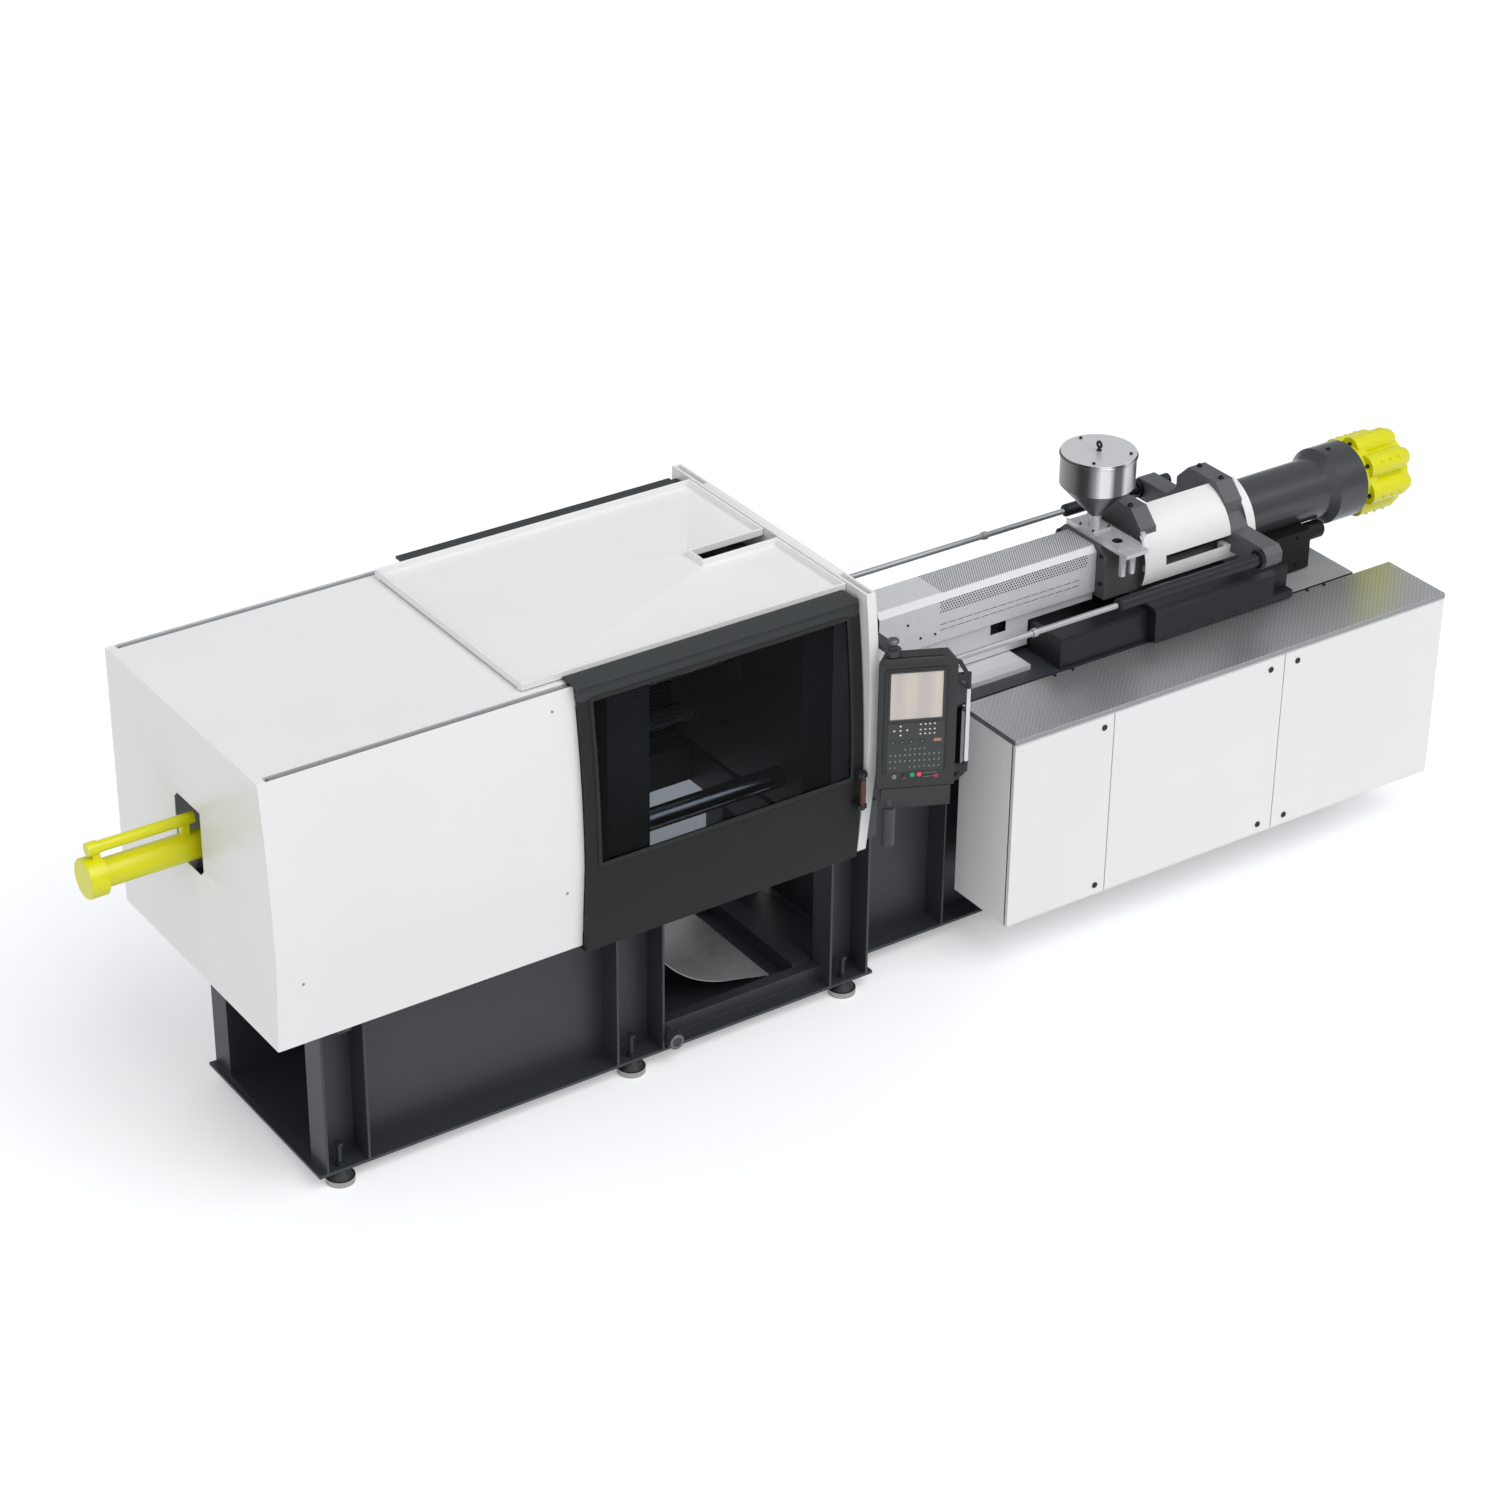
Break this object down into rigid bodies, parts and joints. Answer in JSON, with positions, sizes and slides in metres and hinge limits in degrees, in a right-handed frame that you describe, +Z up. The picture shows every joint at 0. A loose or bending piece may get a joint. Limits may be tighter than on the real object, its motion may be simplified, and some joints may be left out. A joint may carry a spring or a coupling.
{
  "type": "injection moulding machine",
  "caption": "Horizontal injection moulding machine: double toggle clamp under bellied covers with sliding gates, injection unit with hopper on its own base, control cabinet.",
  "frame": {"origin": "on the floor, under the middle of the machine's length and width", "axes": "+X from the clamp cylinder to the screw motor, along the machine; +Y from the operator's side to the rear side; +Z up"},
  "size_m": [7.103, 1.7779, 2.212],
  "materials": {
    "white_paint": "satin",
    "dark_paint": "satin",
    "frame_paint": "satin",
    "lime_paint": "gloss",
    "ground_steel": "ground",
    "chrome": "polished",
    "stainless": "brushed",
    "smoked_glass": "polished",
    "screen_glass": "polished",
    "black_plastic": "matte",
    "green_plastic": "gloss",
    "red_plastic": "gloss",
    "tread_sheet": "patterned"
  },
  "bodies": {
    "machine_frame": {"clamp_base": "frame_paint", "injection_base": "frame_paint", "levelling_feet": "ground_steel", "drain_pipe": "stainless", "drop_chute": "stainless", "front_cover": "white_paint", "rear_cover": "white_paint", "end_cover": "white_paint", "roof_cover": "white_paint", "gate_rails": "dark_paint", "platen_surround": "white_paint", "fixed_platen": "ground_steel", "end_platen": "ground_steel", "tie_bars": "chrome", "tie_bar_nuts": "ground_steel", "clamp_cylinder": "lime_paint", "carriage_rails": "dark_paint", "traverse_rods": "chrome", "purge_tray": "stainless", "cabinet_body": "white_paint", "cabinet_top": "tread_sheet", "panel_arm": "frame_paint"},
    "front_gate": {"front_gate": "dark_paint", "front_window": "smoked_glass", "front_gate_handle": "black_plastic"},
    "rear_gate": {"rear_gate": "dark_paint"},
    "roof_guard": {"roof_guard": "dark_paint"},
    "moving_platen": {"moving_platen": "ground_steel", "ejector_cylinder": "ground_steel"},
    "ejector": {"ejector_rod": "ground_steel"},
    "crosshead": {"crosshead": "ground_steel"},
    "rear_link_top": {"rear_link_top": "ground_steel"},
    "rear_link_bottom": {"rear_link_bottom": "ground_steel"},
    "front_link_top": {"front_link_top": "ground_steel"},
    "front_link_bottom": {"front_link_bottom": "ground_steel"},
    "cross_link_top": {"cross_link_top": "ground_steel"},
    "cross_link_bottom": {"cross_link_bottom": "ground_steel"},
    "injection_carriage": {"carriage": "dark_paint", "injection_yokes": "dark_paint", "injection_cover": "white_paint", "injection_cylinder": "dark_paint", "barrel": "ground_steel", "feed_block": "dark_paint", "barrel_cover": "stainless", "traverse_cylinders": "dark_paint", "screw_motor": "lime_paint", "drive_box": "black_plastic", "hopper_slide": "stainless"},
    "injection_piston": {"injection_piston": "ground_steel"},
    "screw": {"screw": "ground_steel"},
    "hopper": {"hopper": "stainless", "hopper_lid": "stainless"},
    "control_panel": {"control_panel": "dark_paint", "panel_screen": "screen_glass", "panel_handle": "black_plastic"},
    "start_button": {"start_button": "green_plastic"},
    "stop_button": {"stop_button": "red_plastic"},
    "cabinet_door_left": {"cabinet_door_left": "white_paint"},
    "cabinet_door_middle": {"cabinet_door_middle": "white_paint"},
    "cabinet_door_right": {"cabinet_door_right": "white_paint"}
  },
  "joints": [
    {"name": "clamp_stroke", "type": "slide", "parent": "machine_frame", "child": "moving_platen", "axis": [1, 0, 0], "range_m": [0, 0.52]},
    {"name": "crosshead_stroke", "type": "slide", "parent": "machine_frame", "child": "crosshead", "axis": [1, 0, 0], "range_m": [0, 0.3793]},
    {"name": "rear_link_top_turn", "type": "hinge", "parent": "machine_frame", "child": "rear_link_top", "pos_m": [-2.2015, 0.132, 2.005], "axis": [0, -1, 0], "range_deg": [0, 92.8]},
    {"name": "rear_link_bottom_turn", "type": "hinge", "parent": "machine_frame", "child": "rear_link_bottom", "pos_m": [-2.2015, 0.132, 1.085], "axis": [0, 1, 0], "range_deg": [0, 92.8]},
    {"name": "front_link_top_turn", "type": "hinge", "parent": "moving_platen", "child": "front_link_top", "pos_m": [-1.4815, 0.132, 2.005], "axis": [0, 1, 0], "range_deg": [0, 28.5]},
    {"name": "front_link_bottom_turn", "type": "hinge", "parent": "moving_platen", "child": "front_link_bottom", "pos_m": [-1.4815, 0.132, 1.085], "axis": [0, -1, 0], "range_deg": [0, 28.5]},
    {"name": "cross_link_top_turn", "type": "hinge", "parent": "crosshead", "child": "cross_link_top", "pos_m": [-2.36031, 0.132, 1.845], "axis": [0, -1, 0], "range_deg": [0, 112]},
    {"name": "cross_link_bottom_turn", "type": "hinge", "parent": "crosshead", "child": "cross_link_bottom", "pos_m": [-2.36031, 0.132, 1.245], "axis": [0, 1, 0], "range_deg": [0, 112]},
    {"name": "ejector_stroke", "type": "slide", "parent": "moving_platen", "child": "ejector", "axis": [1, 0, 0], "range_m": [0, 0.15]},
    {"name": "front_gate_slide", "type": "slide", "parent": "machine_frame", "child": "front_gate", "axis": [-1, 0, 0], "range_m": [0, 1.3]},
    {"name": "rear_gate_slide", "type": "slide", "parent": "machine_frame", "child": "rear_gate", "axis": [-1, 0, 0], "range_m": [0, 1.3]},
    {"name": "roof_guard_slide", "type": "slide", "parent": "machine_frame", "child": "roof_guard", "axis": [-1, 0, 0], "range_m": [0, 1.19]},
    {"name": "injection_traverse", "type": "slide", "parent": "machine_frame", "child": "injection_carriage", "axis": [-1, 0, 0], "range_m": [0, 0.45]},
    {"name": "injection_stroke", "type": "slide", "parent": "injection_carriage", "child": "injection_piston", "axis": [1, 0, 0], "range_m": [0, 0.25]},
    {"name": "screw_turn", "type": "hinge", "parent": "injection_piston", "child": "screw", "pos_m": [1.9185, 0.132, 1.545], "axis": [1, 0, 0], "continuous": true},
    {"name": "hopper_slide", "type": "slide", "parent": "injection_carriage", "child": "hopper", "axis": [0, -1, 0], "range_m": [0, 0.17]},
    {"name": "control_panel_swivel", "type": "hinge", "parent": "machine_frame", "child": "control_panel", "pos_m": [-0.1465, -0.717, 1.565], "axis": [0, 0, 1], "range_deg": [-30, 25]},
    {"name": "start_button_press", "type": "slide", "parent": "control_panel", "child": "start_button", "axis": [0.4226, 0.9063, 0], "range_m": [0, 0.004], "stiffness_N_per_m": 400, "springref_m": -0.001},
    {"name": "stop_button_press", "type": "slide", "parent": "control_panel", "child": "stop_button", "axis": [0.4226, 0.9063, 0], "range_m": [0, 0.004], "stiffness_N_per_m": 400, "springref_m": -0.001},
    {"name": "cabinet_door_left_swing", "type": "hinge", "parent": "machine_frame", "child": "cabinet_door_left", "pos_m": [0.6305, -0.622, 0.725], "axis": [0, 0, -1], "range_deg": [0, 110]},
    {"name": "cabinet_door_middle_swing", "type": "hinge", "parent": "machine_frame", "child": "cabinet_door_middle", "pos_m": [1.2045, -0.622, 0.725], "axis": [0, 0, -1], "range_deg": [0, 110]},
    {"name": "cabinet_door_right_swing", "type": "hinge", "parent": "machine_frame", "child": "cabinet_door_right", "pos_m": [3.2195, -0.622, 0.725], "axis": [0, 0, 1], "range_deg": [0, 110]}
  ],
  "couplings": [
    {"joint": "crosshead_stroke", "follows": "clamp_stroke", "ratio": 0.72848},
    {"joint": "rear_link_top_turn", "follows": "clamp_stroke", "rad_per_m": 3.1116},
    {"joint": "front_link_top_turn", "follows": "clamp_stroke", "rad_per_m": 0.9533},
    {"joint": "cross_link_top_turn", "follows": "clamp_stroke", "rad_per_m": 3.7568},
    {"joint": "rear_link_bottom_turn", "follows": "clamp_stroke", "rad_per_m": 3.1116},
    {"joint": "front_link_bottom_turn", "follows": "clamp_stroke", "rad_per_m": 0.9533},
    {"joint": "cross_link_bottom_turn", "follows": "clamp_stroke", "rad_per_m": 3.7568}
  ]
}
